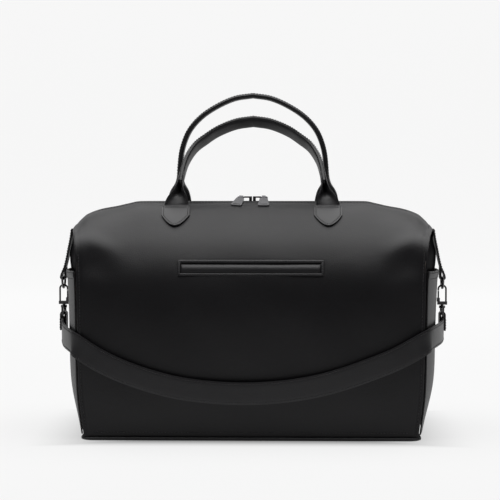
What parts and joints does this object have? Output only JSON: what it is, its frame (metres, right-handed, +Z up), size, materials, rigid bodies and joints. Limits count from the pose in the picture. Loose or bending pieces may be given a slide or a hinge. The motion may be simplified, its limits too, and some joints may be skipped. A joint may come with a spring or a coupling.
{
  "type": "weekender bag",
  "caption": "Soft black leather weekender bag, zipped, with two arched handles, a front welt pocket, open side pockets and a clip-on shoulder strap",
  "frame": {"origin": "on the floor plane, at the centre of the flat outer face of the base panel", "axes": "X along the length of the bag to the right, Y from the pocket side to the back, Z up"},
  "size_m": [0.5312, 0.2511, 0.4583],
  "materials": {
    "leather": "fine grain, soft sheen",
    "leather_base": "fine grain, stiff",
    "lining": "plain woven twill",
    "zip_tape": "woven tape",
    "metal": "polished gunmetal",
    "board": "plain",
    "core": "twisted cord"
  },
  "bodies": {
    "bag": {"front_panel": "leather", "back_panel": "leather", "base_panel": "leather_base", "base_board": "board", "left_end_panel": "leather", "right_end_panel": "leather", "left_side_pocket": "leather", "right_side_pocket": "leather", "lining_front": "lining", "lining_back": "lining", "lining_left_end": "lining", "lining_right_end": "lining", "front_pocket_frame": "leather", "front_pocket_lip": "leather", "front_pocket_pouch": "lining", "zip_tape_front": "zip_tape", "zip_tape_back": "zip_tape", "zip_teeth_front": "metal", "zip_teeth_back": "metal", "zip_end_stops": "metal", "left_ring_tab": "leather", "right_ring_tab": "leather", "front_handle_pads": "leather", "back_handle_pads": "leather"},
    "front_grip": {"front_handle": "leather", "front_handle_core": "core"},
    "back_grip": {"back_handle": "leather", "back_handle_core": "core"},
    "slider_left": {"zip_slider_left": "metal"},
    "slider_right": {"zip_slider_right": "metal"},
    "puller_left": {"zip_puller_left": "metal"},
    "puller_right": {"zip_puller_right": "metal"},
    "left_ring": {"left_d_ring": "metal"},
    "right_ring": {"right_d_ring": "metal"},
    "strap": {"shoulder_strap": "leather", "left_strap_end": "leather", "right_strap_end": "leather", "left_swivel_eye": "metal", "right_swivel_eye": "metal"},
    "left_clip": {"left_hook": "metal", "left_gate_pin": "metal"},
    "right_clip": {"right_hook": "metal", "right_gate_pin": "metal"},
    "left_clip_gate": {"left_gate": "metal"},
    "right_clip_gate": {"right_gate": "metal"}
  },
  "joints": [
    {"name": "front_handle_fold", "type": "hinge", "parent": "bag", "child": "front_grip", "pos_m": [0, -0.0333, 0.309], "axis": [1, 0, 0], "range_deg": [-3, 115], "stiffness_Nm_per_rad": 1, "springref_deg": 1.72},
    {"name": "back_handle_fold", "type": "hinge", "parent": "bag", "child": "back_grip", "pos_m": [0, 0.0333, 0.309], "axis": [-1, 0, 0], "range_deg": [0, 100], "stiffness_Nm_per_rad": 1},
    {"name": "left_slider_travel", "type": "slide", "parent": "bag", "child": "slider_left", "axis": [1, 0, 0], "range_m": [-0.125, 0]},
    {"name": "right_slider_travel", "type": "slide", "parent": "bag", "child": "slider_right", "axis": [1, 0, 0], "range_m": [0, 0.125]},
    {"name": "left_puller_flip", "type": "hinge", "parent": "slider_left", "child": "puller_left", "pos_m": [-0.0154, 0, 0.3155], "axis": [-1, 0, 0], "range_deg": [0, 150]},
    {"name": "right_puller_flip", "type": "hinge", "parent": "slider_right", "child": "puller_right", "pos_m": [0.0154, 0, 0.3155], "axis": [-1, 0, 0], "range_deg": [0, 150]},
    {"name": "left_ring_tilt", "type": "hinge", "parent": "bag", "child": "left_ring", "pos_m": [-0.259, 0, 0.2065], "axis": [0, 1, 0], "range_deg": [-4, 4]},
    {"name": "right_ring_tilt", "type": "hinge", "parent": "bag", "child": "right_ring", "pos_m": [0.259, 0, 0.2065], "axis": [0, 1, 0], "range_deg": [-4, 4]},
    {"name": "strap_swing", "type": "hinge", "parent": "bag", "child": "strap", "pos_m": [0, 0, 0.2065], "axis": [-1, 0, 0], "range_deg": [0, 55]},
    {"name": "left_clip_swivel", "type": "hinge", "parent": "strap", "child": "left_clip", "pos_m": [-0.259, 0, 0.165], "axis": [0, 0, 1], "range_deg": [-20, 20]},
    {"name": "right_clip_swivel", "type": "hinge", "parent": "strap", "child": "right_clip", "pos_m": [0.259, 0, 0.165], "axis": [0, 0, 1], "range_deg": [-20, 20]},
    {"name": "left_gate_open", "type": "hinge", "parent": "left_clip", "child": "left_clip_gate", "pos_m": [-0.2538, 0, 0.176], "axis": [0, -1, 0], "range_deg": [0, 18], "stiffness_Nm_per_rad": 0.02, "springref_deg": -17.19},
    {"name": "right_gate_open", "type": "hinge", "parent": "right_clip", "child": "right_clip_gate", "pos_m": [0.2538, 0, 0.176], "axis": [0, 1, 0], "range_deg": [0, 18], "stiffness_Nm_per_rad": 0.02, "springref_deg": -17.19}
  ]
}
